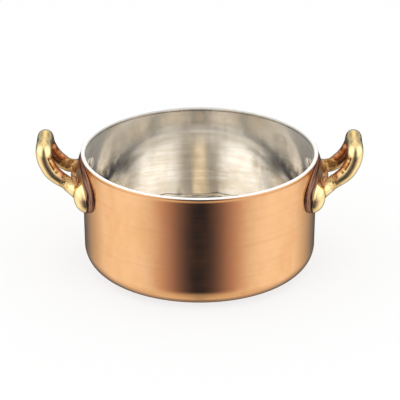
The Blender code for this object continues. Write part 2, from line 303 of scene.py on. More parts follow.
@dataclass(frozen=True)
class WipedTin:
    """Tin wiped on by hand: fine lines round the wall, leaning streaks, clouds and painted shade.

    The painted shade is a dark ring in the bottom corner, two dark lines over it, a shadow line
    under the rim and a darkening high on the wall. The ring's spans run outwards over the floor, up
    at its foot, up at its top, through the noise that breaks it and from near to far. Spans and
    bumps are held as in SatinCopper.
    """

    colour: Colour = (0.975, 0.955, 0.925)
    shade: Colour = (0.74, 0.675, 0.565)
    # painted shade: the near-black of the corner ring, the lines over it and the line under the rim
    painted_shade_colour: Colour = (0.05, 0.052, 0.058)
    rim: Colour = (0.98, 0.97, 0.96)
    roughness: float = 0.085
    roughness_swing: Point = (-0.02, 0.05)
    rim_roughness: float = 0.35
    anisotropy: float = 0.5
    brush_turn: float = 0.25
    streaks: Grain = Grain(260.0, 5.0, 0.6, (0.3, 0.3, 1.0), (8.0, 14.0, 0.0))
    lines: Grain = Grain(2200.0, 2.0, 0.6)
    line_flatness: float = 0.04
    clouds: Grain = Grain(70.0, 3.0, 0.55)
    drift: Grain = Grain(140.0, 2.0, 0.5)
    drift_rise: float = -3.0 * MM
    streak_shade: Span = (0.43, 0.72, 0.0, 0.7)
    cloud_shade: Span = (0.45, 0.75, 0.0, 0.5)
    line_shade: Span = (0.42, 0.6, 0.0, 0.34)
    # Between these heights the wall turns matt and takes painted shade, darker towards the top.
    high_span: Span = (24.0 * MM, 33.0 * MM)
    high_shade: float = 0.5
    # Spans of the ring of painted shade in the bottom corner.
    ring_out: Span = (36.1 * MM, 37.1 * MM)
    ring_foot: Span = (0.2 * MM, 2.2 * MM)
    ring_top: Span = (3.7 * MM, 5.7 * MM, 1.0, 0.0)
    ring_patches: Span = (0.5, 0.75, 0.82, 1.0)
    ring_patch_lines: float = 0.3
    ring_near: Span = (-32.0 * MM, 0.0, 0.6, 1.0)
    # Painted shade: two dark lines over the bottom corner.
    shade_line_rise: float = 7.1 * MM
    shade_line_offset: float = 0.75 * MM
    shade_line_width: Span = (0.1 * MM, 0.24 * MM, 1.0, 0.0)
    shade_line_patches: Span = (0.35, 0.6, 0.3, 0.95)
    # Painted shadow: a dark line just under the rim.
    rim_line_foot: Span = (40.0 * MM, 40.3 * MM)
    rim_line_top: Span = (40.45 * MM, 40.7 * MM, 0.65, 0.0)
    rim_line_patches: Span = (0.3, 0.6, 0.6, 1.0)
    rim_span: Span = (40.7 * MM, 41.09 * MM)
    rim_matt: float = 0.75
    side_matt: Span = (12.0 * MM, 34.0 * MM, 0.2, 0.48)
    metal_span: Span = (0.0, 1.0, 0.96, 1.0)
    polish_span: Span = (0.3, 0.8)
    streak_bump: Point = (0.008 * MM, 0.5)
    line_bump: Point = (0.0028 * MM, 0.5)

    def ring(self, graph: Graph, flat: Socket, y: Socket, rise: Socket, patches: Socket) -> Socket:
        """The patchy ring of painted shade in the bottom corner, fainter on the near side.

        Args:
            graph: the material's graph.
            flat: the distance from the pot's axis.
            y: the place from near to far.
            rise: the height, drifting a little.
            patches: the noise that breaks the ring up.

        Returns:
            The ring's darkness, 0 to 1.
        """
        spans = (self.ring_out, self.ring_foot, self.ring_top, self.ring_patches, self.ring_near)
        values = (flat, rise, rise, patches, y)
        return graph.times(*(graph.remap(value, *span) for value, span in zip(values, spans)))

    def seams(self, graph: Graph, rise: Socket, clouds: Socket) -> Socket:
        """The two painted shade lines over the corner.

        Args:
            graph: the material's graph.
            rise: the height, drifting a little.
            clouds: the noise that fades the lines.

        Returns:
            The lines' darkness, 0 to 1.
        """
        off = graph.apart(graph.apart(rise, self.shade_line_rise), self.shade_line_offset)
        patches = graph.remap(clouds, *self.shade_line_patches)
        return graph.times(graph.remap(off, *self.shade_line_width), patches)

    def rim_line(self, graph: Graph, z: Socket, streaks: Socket) -> Socket:
        """The darkness of the painted shadow line under the rim."""
        line = graph.times(graph.remap(z, *self.rim_line_foot), graph.remap(z, *self.rim_line_top))
        return graph.times(line, graph.remap(streaks, *self.rim_line_patches))

    def material(self, name: str = "wiped_tin") -> Material:
        """Builds the tin.

        Args:
            name: the material's name.

        Returns:
            The material.
        """
        material, graph, shader, place = new_material(name)
        x, y, z = graph.parts(place)
        flat = graph.length(x, y)
        pressed = {axis: graph.times(part, self.line_flatness) for axis, part in enumerate((x, y))}
        wound = graph.add("ShaderNodeCombineXYZ", {**pressed, 2: graph.plus(flat, z)}).outputs[0]
        lines = graph.grain(wound, self.lines)
        streaks, clouds, drift = graph.grains(place, self.streaks, self.clouds, self.drift)
        rise = graph.plus(z, graph.times(graph.math("SUBTRACT", drift, 0.5), self.drift_rise))
        patches = graph.plus(drift, graph.times(lines, self.ring_patch_lines))
        # Painted shade: the corner ring, the two lines over it and the shadow line under the rim.
        marks = graph.most(
            self.ring(graph, flat, y, rise, patches),
            self.seams(graph, rise, clouds),
            self.rim_line(graph, z, streaks),
        )
        high, rim = graph.remap(z, *self.high_span), graph.remap(z, *self.rim_span)
        # Real wiping clouds, plus painted shade that darkens the wall towards the top.
        clouds_and_high_shade = graph.remap(clouds, *self.cloud_shade)
        clouds_and_high_shade = graph.plus(graph.times(high, self.high_shade), clouds_and_high_shade)
        colour = graph.mix(graph.remap(streaks, *self.streak_shade), self.colour, self.shade)
        colour = graph.mix(clouds_and_high_shade, colour, self.shade)
        colour = graph.mix(graph.remap(lines, *self.line_shade), colour, self.shade)
        # The painted shade darkens the tin towards near-black.
        colour = graph.mix(marks, colour, self.painted_shade_colour)
        dulled = graph.remap(graph.math("ABSOLUTE", x), *self.side_matt)
        matt = graph.most(graph.times(high, dulled), graph.times(rim, self.rim_matt))
        swing = (self.roughness + step for step in self.roughness_swing)
        rough = graph.remap(clouds, *self.polish_span, *swing)
        wide = graph.bump(streaks, *self.streak_bump)
        finish = {
            "Base Color": graph.mix(rim, colour, self.rim),
            "Roughness": graph.plus(rough, graph.times(rim, self.rim_roughness)),
            "Metallic": graph.math("SUBTRACT", graph.remap(marks, *self.metal_span), matt),
            "Anisotropic": self.anisotropy,
            "Anisotropic Rotation": self.brush_turn,
            "Tangent": graph.add("ShaderNodeTangent", direction_type="RADIAL", axis="Z").outputs[0],
            "Normal": graph.bump(lines, *self.line_bump, wide),
        }
        graph.wire(shader, finish)
        return material


@dataclass(frozen=True)
class PolishedBrass:
    """Mirror-polished cast brass, brown and grainy where the polishing wheel does not reach.

    It reads three numbers that the casting stores at its points: "shelter", the share of the sky
    that the handle and the pot hide, "level", which is 0 on the flange's border and 1 on its raised
    plate, and "root", the distance from the web in millimetres. Where the sky is hidden the brass
    browns, partly tarnish and partly painted shade. The bed is the dull ground round the plate's
    edge and shoulder, and the gap is where the casting all but meets the pot. The gap and the step
    at the plate's edge are painted in shadow, and the border's face is painted copper-brown, partly
    tarnish and partly a painted reflection of the copper wall. Spans and bumps are held as in
    SatinCopper.
    """

    colour: Colour = (0.94, 0.75, 0.38)
    casting: Colour = (0.62, 0.4, 0.16)
    # brown for tarnish and painted shade where the handle and the pot hide the sky
    hidden: Colour = (0.42, 0.17, 0.075)
    bed: Colour = (0.3, 0.16, 0.105)
    ochre: Colour = (0.42, 0.27, 0.12)
    # copper-brown of the border's face: tarnish and a painted reflection of the copper wall
    border: Colour = (0.31, 0.15, 0.1)
    # near-black of the painted shadow in the gap against the pot and on the plate's step
    painted_shadow: Colour = (0.1, 0.05, 0.04)
    metallic: float = 0.94
    swell: Grain = Grain(260.0, 2.0, 0.5)
    skin: Grain = Grain(1300.0, 3.0, 0.65)
    hidden_speck: float = 0.1
    hidden_span: Span = (0.08, 0.32)
    hidden_share: float = 0.92
    hidden_dullness: float = 0.35
    gap_span: Span = (0.72, 0.95)
    edge_span: Span = (0.75, 0.95, 1.0, 0.0)
    shoulder_span: Span = (1.05, 1.25, 1.0, 0.0)
    foot_span: Span = (27.6 * MM, 30.4 * MM)
    border_span: Span = (0.15, 0.4)
    border_share: float = 0.85
    root_speck: float = -3.0
    root_span: Span = (2.9, 4.1, 1.0, 0.0)
    root_level: Span = (1.3, 2.0)
    root_dullness: float = 0.8
    gold_span: Span = (0.36, 0.56, 0.5, 1.0)
    stain_parts: Point = (0.7, 0.3)
    stain_span: Span = (0.42, 0.58, 0.0, 0.8)
    roughness_span: Span = (0.0, 1.0, 0.06, 0.32)
    skin_span: Span = (0.0, 1.0, 0.03, 1.0)
    skin_bump: Point = (0.1 * MM, 0.8)
    swell_bump: Point = (0.004 * MM, 0.5)

    def material(self) -> Material:
        """Builds the brass.

        Returns:
            The material.
        """
        material, graph, shader, place = new_material("polished_brass")
        swell, skin = graph.grains(place, self.swell, self.skin)
        shelter, level, root = (graph.stored(name) for name in ("shelter", "level", "root"))
        speck = graph.math("SUBTRACT", skin, 0.5)
        # Tarnish and painted shade: the brass browns where the handle and the pot hide the sky.
        hidden = graph.plus(shelter, graph.times(speck, self.hidden_speck))
        hidden = graph.remap(hidden, *self.hidden_span)
        edge = graph.remap(level, *self.edge_span)
        foot = graph.remap(graph.parts(place)[2], *self.foot_span)
        bed = graph.most(edge, graph.times(foot, graph.remap(level, *self.shoulder_span)))
        cast = graph.remap(graph.plus(root, graph.times(speck, self.root_speck)), *self.root_span)
        cast = graph.times(cast, graph.remap(level, *self.root_level))
        stain = graph.plus(*(graph.times(*part) for part in zip((swell, skin), self.stain_parts)))
        stain = graph.remap(stain, *self.stain_span)
        raised = graph.remap(level, *self.border_span)
        face = graph.remap(level, *self.border_span, self.border_share, 0.0)
        # Painted shadow: near-black in the gap against the pot and on the step at the plate's edge.
        dark = graph.most(graph.times(edge, raised), graph.remap(shelter, *self.gap_span))
        colour = graph.mix(graph.times(hidden, self.hidden_share), self.colour, self.hidden)
        gold = graph.times(cast, graph.remap(skin, *self.gold_span))
        colour = graph.mix(gold, colour, self.casting)
        colour = graph.mix(bed, colour, graph.mix(stain, self.bed, self.ochre))
        # Tarnish and painted reflection: the border's face takes copper-brown for the wall it
        # mirrors.
        colour = graph.mix(face, colour, self.border)
        dull = graph.most(bed, graph.times(cast, self.root_dullness))
        worn = graph.most(dull, graph.times(hidden, self.hidden_dullness))
        rough_skin = graph.times(skin, graph.remap(dull, *self.skin_span))
        wide = graph.bump(swell, *self.swell_bump)
        finish = {
            "Base Color": graph.mix(dark, colour, self.painted_shadow),
            "Roughness": graph.remap(worn, *self.roughness_span),
            "Metallic": self.metallic,
            "Normal": graph.bump(rough_skin, *self.skin_bump, wide),
        }
        graph.wire(shader, finish)
        return material


def arc(centre: Point, radius: float, start: float, end: float, steps: int) -> list[Point]:
    """Lays points along part of a circle.

    Args:
        centre: the circle's centre.
        radius: the circle's radius.
        start: the first point's turn in degrees.
        end: the last point's turn in degrees.
        steps: how many steps lie between them.

    Returns:
        The points, both ends included.
    """
    x, y = centre
    angles = [math.radians(start + (end - start) * step / steps) for step in range(steps + 1)]
    return [(x + radius * math.cos(angle), y + radius * math.sin(angle)) for angle in angles]


def turn_mesh(name: str, profile: Sequence[Point], steps: int) -> Object:
    """A solid of revolution round Z.

    Args:
        name: the object's name.
        profile: (radius, height) points that end by running down the outside.
        steps: how many steps make a full turn.

    Returns:
        The object, linked to the scene.
    """
    points = [profile[0]]
    for point in profile[1:]:
        if math.dist(point, points[-1]) > TINY:
            points.append(point)
    shape = bmesh.new()
    rings = []
    turns = [math.tau * step / steps for step in range(steps)]
    circle = [(math.cos(turn), math.sin(turn)) for turn in turns]
    for radius, height in points:
        if radius < TINY:
            rings.append([shape.verts.new((0.0, 0.0, height))])
        else:
            rings.append([shape.verts.new((radius * x, radius * y, height)) for x, y in circle])
    pairs = list(zip(rings, rings[1:]))
    if len(rings[0]) > 1:
        pairs.append((rings[-1], rings[0]))
    for low, high in pairs:
        for step in range(steps):
            following = (step + 1) % steps
            ends = ((low, step), (low, following), (high, following), (high, step))
            corners = list(dict.fromkeys(ring[index % len(ring)] for ring, index in ends))
            if len(corners) > 2:
                shape.faces.new(corners)
    bmesh.ops.recalc_face_normals(shape, faces=shape.faces)
    return smoothed(link_shape(name, shape), CRISP_ANGLE)


def smoothed(obj: Object, angle: float) -> Object:
    """Smooths an object but for its crisp edges.

    Args:
        obj: the object.
        angle: edges that bend more than this many degrees stay crisp.

    Returns:
        The same object.
    """
    obj.data.shade_smooth()
    obj.data.set_sharp_from_angle(angle=math.radians(angle))
    return obj


def link(name: str, data: bpy.types.ID) -> Object:
    """Makes an object and links it to the scene.

    Args:
        name: the object's name.
        data: the mesh, curve, lamp or camera that it holds.

    Returns:
        The object.
    """
    obj = bpy.data.objects.new(name, data)
    bpy.context.scene.collection.objects.link(obj)
    return obj


def link_shape(name: str, shape: bmesh.types.BMesh) -> Object:
    """Makes an object of a shape.

    Args:
        name: the object's name.
        shape: the shape, which is freed.

    Returns:
        The object, linked to the scene.
    """
    mesh = bpy.data.meshes.new(name)
    shape.to_mesh(mesh)
    shape.free()
    return link(name, mesh)


def remove(obj: Object) -> None:
    """Removes an object."""
    bpy.data.objects.remove(obj, do_unlink=True)


def evaluated(obj: Object) -> Object:
    """Replaces a curve, or an object with modifiers, with the welded mesh that it shows.

    Args:
        obj: the object, which is removed.

    Returns:
        The new object, with the same name and place.
    """
    bpy.context.view_layer.update()
    graph = bpy.context.evaluated_depsgraph_get()
    mesh = bpy.data.meshes.new_from_object(obj.evaluated_get(graph))
    mesh.name = obj.name
    welded = bmesh.new()
    welded.from_mesh(mesh)
    bmesh.ops.remove_doubles(welded, verts=welded.verts, dist=TINY)
    bmesh.ops.recalc_face_normals(welded, faces=welded.faces)
    welded.to_mesh(mesh)
    welded.free()
    name, place = obj.name, obj.matrix_world.copy()
    remove(obj)
    made = link(name, mesh)
    made.matrix_world = place
    return made


def boolean(obj: Object, tool: Object, operation: str) -> Object:
    """Cuts or joins an object with a tool, exactly.

    Args:
        obj: the object, which is replaced.
        tool: the tool, which is removed.
        operation: the Boolean's name.

    Returns:
        The new object.
    """
    modifier = obj.modifiers.new(tool.name, "BOOLEAN")
    modifier.operation = operation
    modifier.solver = "EXACT"
    modifier.object = tool
    made = evaluated(obj)
    remove(tool)
    return made


def smooth_spline(curve: bpy.types.Curve, points: Sequence[Sequence[float]]) -> bpy.types.Spline:
    """Adds a smooth Bezier line to a curve.

    Args:
        curve: the curve.
        points: the points that it runs through.

    Returns:
        The line.
    """
    spline = curve.splines.new("BEZIER")
    spline.bezier_points.add(len(points) - 1)
    for knot, point in zip(spline.bezier_points, points):
        knot.co = point
        knot.handle_left_type = "AUTO"
        knot.handle_right_type = "AUTO"
    return spline


def dress(piece: Object, material: Material, slot: str, *nodes: str) -> None:
    """Gives a piece its finish and says which CAD nodes it stands for.

    Args:
        piece: the finished piece, in place.
        material: its finish.
        slot: a material slot's name, which is not used.
        nodes: the CAD nodes that it replaces.
    """
    piece.data.materials.clear()
    piece.data.materials.append(material)
    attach(piece, ROOT)
    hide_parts(*nodes)
    LOG.info("%s: %d faces, for %s", piece.name, len(piece.data.polygons), ", ".join(nodes))


@dataclass
class Cup:
    """The sizes that the pot's copper, its tin and what is fastened to them share."""

    inner_radius: float = 40.0 * MM
    height: float = 42.0 * MM
    wall: float = 1.05 * MM
    lip_radius: float = 0.718 * MM
    draft: float = 0.5 * MM
    corner_radius: float = 7.5 * MM
    tin: float = 0.15 * MM
    tin_gap: float = 0.05 * MM
    tin_edge_angle: float = 27.0
    blend_angle: float = 32.0
    blend_height: float = 1.1 * MM
    upright: float = 31.0 * MM
    wall_steps: int = 14
    corner_steps: int = 24
    lip_steps: int = 12
    steps: int = 288

    @property
    def radius(self) -> float:
        """Radius of the outer wall just under the lip."""
        return self.inner_radius + self.wall

    @property
    def lip_centre(self) -> Point:
        """Middle of the lip's round section."""
        return self.inner_radius + self.lip_radius, self.height - self.lip_radius

    @property
    def corner_middle(self) -> float:
        """Radius of the circle that the bottom corner's round section is centred on."""
        return self.inner_radius + self.wall - self.draft - self.corner_radius

    def radius_at(self, height: float) -> float:
        """Radius of the outer wall at a height, which narrows towards the base."""
        top = self.lip_centre[1]
        return self.radius - self.draft * (top - height) / (top - self.corner_radius)

    def bend(self, radius: float) -> list[Point]:
        """The bottom corner's round section."""
        centre = (self.corner_middle, self.corner_radius)
        return arc(centre, radius, -90.0, 0.0, self.corner_steps)

    def section(self, depth: float) -> list[Point]:
        """The outer face moved inwards by depth, from the middle of the base up to the lip."""
        bend = self.bend(self.corner_radius - depth)
        return [(0.0, depth), *bend, (self.radius - depth, self.lip_centre[1])]

    def inner_radius_at(self, height: float) -> float:
        """Radius inside the lining: upright near the lip, then curving in to the corner."""
        share = max(0.0, (self.upright - height) / (self.upright - self.corner_radius))
        return self.inner_radius - self.draft * share**2

    def inner_section(self, depth: float) -> list[Point]:
        """The inner face, from the middle of the floor up to the lip.

        Args:
            depth: how far the face is moved outwards.

        Returns:
            Its (radius, height) points.
        """
        bend = self.bend(self.corner_radius - self.wall + depth)
        climb = (self.upright - self.corner_radius) / self.wall_steps
        heights = [self.corner_radius + climb * step for step in range(1, self.wall_steps + 1)]
        wall = [(self.inner_radius_at(height) + depth, height) for height in heights]
        top = (self.inner_radius + depth, self.lip_centre[1])
        return [(0.0, self.wall - depth), *bend, *wall, top]

    def lip(self, radius: float, start: float, end: float) -> list[Point]:
        """Part of a circle round the middle of the lip."""
        return arc(self.lip_centre, radius, start, end, self.lip_steps)

    def lip_foot(self, grow: float) -> float:
        """Where the lip's round, grown by grow, meets the wall, in degrees below the horizontal."""
        flat = (self.radius + grow - self.lip_centre[0]) / (self.lip_radius + grow)
        return math.degrees(math.acos(flat))

    def under_lip(self) -> list[Point]:
        """The soft hollow under the lip, from the lip's round down to the wall.

        Returns:
            Its (radius, height) points.
        """
        start = self.lip(self.lip_radius, 0.0, -self.blend_angle)[-1]
        slope = math.tan(math.radians(self.blend_angle))
        foot = start[1] - self.blend_height
        wall = self.radius_at(foot)
        corners = (start, (wall, start[1] - (start[0] - wall) / slope), (wall, foot))
        points = []
        for step in range(1, self.lip_steps + 1):
            share = step / self.lip_steps
            weights = ((1 - share) ** 2, 2 * share * (1 - share), share**2)
            pairs = list(zip(weights, corners))
            flat, rise = (sum(weight * corner[axis] for weight, corner in pairs) for axis in (0, 1))
            points.append((flat, rise))
        return points


@dataclass
class PotBody:
    """The drawn copper cup with its thickened lip."""

    cup: Cup
    finish: SatinCopper = SatinCopper()

    def build(self) -> None:
        """Builds and dresses the copper."""
        cup = self.cup
        profile = cup.inner_section(cup.tin + cup.tin_gap)
        profile += cup.lip(cup.lip_radius - cup.tin - cup.tin_gap, 180.0, cup.tin_edge_angle)
        profile += cup.lip(cup.lip_radius, cup.tin_edge_angle, -cup.blend_angle)
        profile += cup.under_lip()
        profile += reversed(cup.section(0.0)[:-1])
        body = turn_mesh("copper_body", profile, cup.steps)
        dress(body, self.finish.material(), "copper", "pot_body")


@dataclass
class TinLining:
    """The tin inside the pot and over its lip, wavy where the wiping cloth turned.

    A wave holds how wide its noise winds round the pot, how tall its lumps are and a shift.
    """

    cup: Cup
    finish: WipedTin = WipedTin()
    ripple_depth: float = 0.12 * MM
    ripple_top: float = 39.0 * MM
    ripple_place: Point = (39.0 * MM, 6.0 * MM)
    ripple_spread: float = 4.5 * MM
    ripple_shares: Point = (0.06, 0.94)
    long_wave: Size = (9.0, 7.0 * MM, 0.0)
    short_wave: Size = (26.0, 2.5 * MM, 7.0)
    wave_shares: Point = (0.6, 0.4)
    still_middle: float = 1.0 * MM

    def build(self) -> None:
        """Builds and dresses the tin."""
        cup = self.cup
        edge = cup.tin_edge_angle + math.degrees(cup.tin_gap / cup.lip_radius)
        profile = cup.inner_section(0.0)
        profile += cup.lip(cup.lip_radius, 180.0, edge)
        profile += cup.lip(cup.lip_radius - cup.tin, edge, 180.0)
        profile += reversed(cup.inner_section(cup.tin))
        lining = turn_mesh("tin_coat", profile, cup.steps)
        self.ripple(lining)
        dress(lining, self.finish.material(), "tin", "tin_lining")

    def ripple(self, lining: Object) -> None:
        """Moves the tin's own face in and out a little, most of all round the bottom corner.

        Args:
            lining: the tin, whose points are moved.
        """
        cup = self.cup
        place, spread = self.ripple_place, self.ripple_spread
        everywhere, round_corner = self.ripple_shares
        for vertex in lining.data.vertices:
            x, y, z = vertex.co
            flat = math.hypot(x, y)
            if flat < self.still_middle or z > self.ripple_top or not self.faces_inside(flat, z):
                continue
            off = ((flat - place[0]) / spread) ** 2, ((z - place[1]) / spread) ** 2
            corner = math.exp(-off[0] - off[1])
            turn = math.atan2(y, x)
            long, short = (self.wave(turn, z, *wave) for wave in (self.long_wave, self.short_wave))
            waves = self.wave_shares[0] * long + self.wave_shares[1] * short
            push = self.ripple_depth * (everywhere + round_corner * corner) * waves
            slope = min(1.0, max(0.0, (z - cup.wall) / (cup.corner_radius - cup.wall)))
            out = math.sqrt(slope)
            vertex.co.x += push * out * x / flat
            vertex.co.y += push * out * y / flat
            vertex.co.z -= push * (1.0 - slope)

    def wave(self, turn: float, z: float, wide: float, tall: float, shift: float) -> float:
        """Noise that closes round the pot, read at a turn in radians and a height."""
        return noise.noise(Vector((wide * math.cos(turn), wide * math.sin(turn), z / tall + shift)))

    def faces_inside(self, flat: float, z: float) -> bool:
        """Tells the lining's inner face from its face against the copper.

        Args:
            flat: a point's distance from the pot's axis.
            z: its height.

        Returns:
            Whether it lies on the inner face.
        """
        cup = self.cup
        half = 0.5 * cup.tin
        if z >= cup.corner_radius:
            return flat < cup.inner_radius_at(z) + half
        if flat <= cup.corner_middle:
            return z > cup.wall - half
        off = math.hypot(flat - cup.corner_middle, z - cup.corner_radius)
        return off < cup.corner_radius - cup.wall + half


@dataclass
class CastHandle:
    """One cast brass handle, fused from its loop, lobes, web and flange and bedded on the wall.

    Places on the loop are given as distance out from the wall, distance sideways from the
    handle's middle, and rise above the rim. The web's spread is its width in arm sides and its
    length in arm radii, and the root's share is its part of the way out to the grip.
    """

    cup: Cup
    voxel: float = Quality.FINAL.value
    grip_out: float = 12.87 * MM
    grip_rise: float = 2.37 * MM
    grip_radius: float = 2.82 * MM
    arm_side: float = 7.5 * MM
    arm_radius: float = 2.6 * MM
    lobe_side: float = 14.0 * MM
    lobe_rise: float = -11.8 * MM
    lobe_size: Size = (4.9 * MM, 7.8 * MM, 11.4 * MM)
    lobe_lean: float = 20.0
    flange_thickness: float = 1.9 * MM
    border: float = 1.3 * MM
    border_thickness: float = 0.8 * MM
    flange_top_thickness: float = 0.4 * MM
    flange_shoulder: float = -6.0 * MM
    flange_top: float = -1.7 * MM
    flange_side: float = 19.3 * MM
    flange_foot: float = -16.9 * MM
    flange_room: float = 1.2
    web_out: float = 4.0 * MM
    web_rise: float = -9.4 * MM
    web_spread: Point = (2.2, 3.0)
    root_share: float = 0.36
    fillet: float = 1.0 * MM
    seat_clearance: float = 0.15 * MM
    polish_width: float = 0.45 * MM
    polish_factor: float = 0.5
    rough_reach: float = 3.9
    rough_depth: float = 0.13 * MM
    rough_grain: float = 0.7 * MM
    rough_level: float = 1.6
    crisp_angle: float = 50.0
    shelter_reach: float = 20.0 * MM
    shelter_rays: int = 48
    shelter_probes: int = 4000
    shelter_near: int = 6
    shelter_soft: float = 0.1 * MM
    shelter_start: float = 0.05 * MM
    boss_steps: int = 64
    loop_steps: int = 16
    loop_round: int = 12
    flange_steps: int = 12
    wall_steps: int = 180
    shelter_wall_steps: int = 96

    @property
    def flange_steps_out(self) -> Size:
        """The flange's three thicknesses: the top edge, the border and the raised plate."""
        return self.flange_top_thickness, self.border_thickness, self.flange_thickness

    def loop_point(self, out: float, side: float, rise: float) -> Vector:
        """A point of the loop."""
        return Vector((self.cup.radius + out, side, self.cup.height + rise))

    def wall_point(self, out: float, side: float, rise: float) -> Vector:
        """A point out from the wall, with side measured round the wall."""
        angle, radius = side / self.cup.radius, self.cup.radius + out
        return Vector((radius * math.cos(angle), radius * math.sin(angle), self.cup.height + rise))

    def stations(self) -> list[Station]:
        """Lays out half of the loop.

        Returns:
            Points and radii from the middle of the grip down one arm into its lobe.
        """
        out, side, rise, arm = self.grip_out, self.arm_side, self.grip_rise, self.arm_radius
        drop = rise - self.web_rise
        at = self.loop_point
        return [
            (at(out, 0.0, rise), self.grip_radius),
            (at(out, 0.74 * side, rise), self.grip_radius),
            (at(0.994 * out, 0.95 * side, rise - 0.07 * drop), 0.985 * self.grip_radius),
            (at(0.965 * out, side, rise - 0.24 * drop), 0.97 * self.grip_radius),
            (at(0.89 * out, side, rise - 0.44 * drop), 1.06 * arm),
            (at(0.785 * out, side, rise - 0.63 * drop), 1.06 * arm),
            (at(0.61 * out, side, rise - 0.81 * drop), arm),
            (at(0.425 * out, 1.01 * side, rise - 0.95 * drop), 0.93 * arm),
            (at(0.26 * out, 1.22 * side, self.web_rise - 0.05 * drop), 0.93 * arm),
            (self.wall_point(0.45 * arm, self.lobe_side, self.lobe_rise), arm),
        ]

    def make_loop(self) -> Object:
        """Makes the grip and both arms as one tapering rod.

        Returns:
            The rod.
        """
        half = self.stations()
        other = [(Vector((point.x, -point.y, point.z)), radius) for point, radius in half[:0:-1]]
        stations = other + half
        curve = bpy.data.curves.new("loop", "CURVE")
        curve.dimensions = "3D"
        curve.bevel_depth = 1.0
        curve.bevel_resolution = self.loop_round
        curve.use_fill_caps = True
        spline = smooth_spline(curve, [point for point, _ in stations])
        spline.resolution_u = self.loop_steps
        for knot, (_, radius) in zip(spline.bezier_points, stations):
            knot.radius = radius
        return evaluated(link("loop", curve))

    def make_boss(
        self, name: str, side: float, rise: float, size: Size, lean: float = 0.0
    ) -> Object:
        """An egg-shaped lump on the wall.

        Args:
            name: the object's name.
            side: its place round the wall.
            rise: its place above the rim.
            size: its depth out from the wall, its width and its length.
            lean: its turn on the wall in degrees.

        Returns:
            The object.
        """
        ball = bmesh.new()
        steps = self.boss_steps
        bmesh.ops.create_uvsphere(ball, u_segments=steps, v_segments=steps // 2, radius=1.0)
        depth, width, length = size
        shape = Matrix.Diagonal((depth, width / 2, length / 2, 1.0))
        tilt = Matrix.Rotation(math.radians(lean), 4, "X")
        turn = Matrix.Rotation(side / self.cup.radius, 4, "Z")
        place = Matrix.Translation(self.wall_point(0.0, side, rise))
        bmesh.ops.transform(ball, matrix=place @ turn @ tilt @ shape, verts=ball.verts)
        return link_shape(name, ball)

    def flange_outline(self, inset: float) -> list[Point]:
        """Lays out half of the flange's edge, from the top round to the web.

        Args:
            inset: how far inside the flange's own edge the line runs.

        Returns:
            Its (side, rise) points.
        """
        side, top = self.flange_side - inset, self.flange_top - inset
        foot = self.flange_foot + inset
        return [
            (0.0, top),
            (0.4 * side, top - 0.2 * MM),
            (0.68 * side, top - 1.5 * MM),
            (0.88 * side, top - 4.0 * MM),
            (side, 0.57 * foot),
            (0.985 * side, 0.77 * foot),
            (0.88 * side, 0.95 * foot),
            (0.72 * side, foot),
            (0.56 * side, 0.9 * foot),
            (0.42 * side, self.web_rise - 2.2 * MM),
            (0.2 * side, self.web_rise - 0.5 * MM),
            (0.0, self.web_rise),
        ]

    def make_flange(
        self, name: str, inset: float, thickness: float, top_thickness: float
    ) -> Object:
        """A thin saddle plate: its outline pushed through a ring of the wall's curve.

        Args:
            name: the object's name.
            inset: how far inside the flange's own edge the plate ends.
            thickness: its thickness from the shoulder down.
            top_thickness: its thickness at the top edge.

        Returns:
            The plate.
        """
        half = self.flange_outline(inset)
        outline = half + [(-side, rise) for side, rise in half[-2:0:-1]]
        curve = bpy.data.curves.new(name, "CURVE")
        curve.dimensions = "2D"
        curve.fill_mode = "BOTH"
        curve.extrude = self.cup.radius / 2
        curve.resolution_u = self.flange_steps
        spline = smooth_spline(curve, [(side, rise, 0.0) for side, rise in outline])
        spline.use_cyclic_u = True
        plate = link(name, curve)
        upright = Matrix(((0, 0, 1), (1, 0, 0), (0, 1, 0))).to_4x4()
        plate.matrix_world = Matrix.Translation((self.cup.radius, 0.0, self.cup.height)) @ upright
        plate = evaluated(plate)
        inner = self.cup.radius - self.flange_thickness
        edge, face = self.cup.radius + top_thickness, self.cup.radius + thickness
        rises = (self.flange_top, self.flange_shoulder, self.flange_room * self.flange_foot)
        top, shoulder, foot = (self.cup.height + rise for rise in rises)
        section = [(inner, foot), (inner, top), (edge, top), (face, shoulder), (face, foot)]
        return boolean(plate, turn_mesh(name + "_ring", section, self.wall_steps), "INTERSECT")

    def make_seat(self) -> Object:
        """Makes the pot's outside with the clearance added, which cuts the casting's saddle.

        Returns:
            The tool for the cut.
        """
        cup, gap = self.cup, self.seat_clearance
        profile = [(0.0, cup.height + gap)]
        profile += cup.lip(cup.lip_radius + gap, 90.0, -cup.lip_foot(gap))
        profile += reversed(cup.section(-gap)[:-1])
        return turn_mesh("handle_seat", profile, cup.steps)

    def fuse(self, parts: Iterable[Object]) -> Object:
        """Fuses shapes into one casting, grown and shrunk again so that inner corners fill.

        Args:
            parts: the overlapping shapes, which are removed.

        Returns:
            The casting.
        """
        together = bmesh.new()
        for part in parts:
            part.data.transform(part.matrix_world)
            together.from_mesh(part.data)
            remove(part)
        casting = link_shape("casting", together)
        for distance in (self.fillet, -self.fillet, 0.0):
            remesh = casting.modifiers.new("fuse", "REMESH")
            remesh.mode = "VOXEL"
            remesh.voxel_size = self.voxel
            if distance:
                push = casting.modifiers.new("push", "DISPLACE")
                push.mid_level = 0.0
                push.strength = distance
        smooth = casting.modifiers.new("polish", "SMOOTH")
        smooth.factor = self.polish_factor
        smooth.iterations = round(2 * (self.polish_width / self.voxel) ** 2)
        return evaluated(casting)

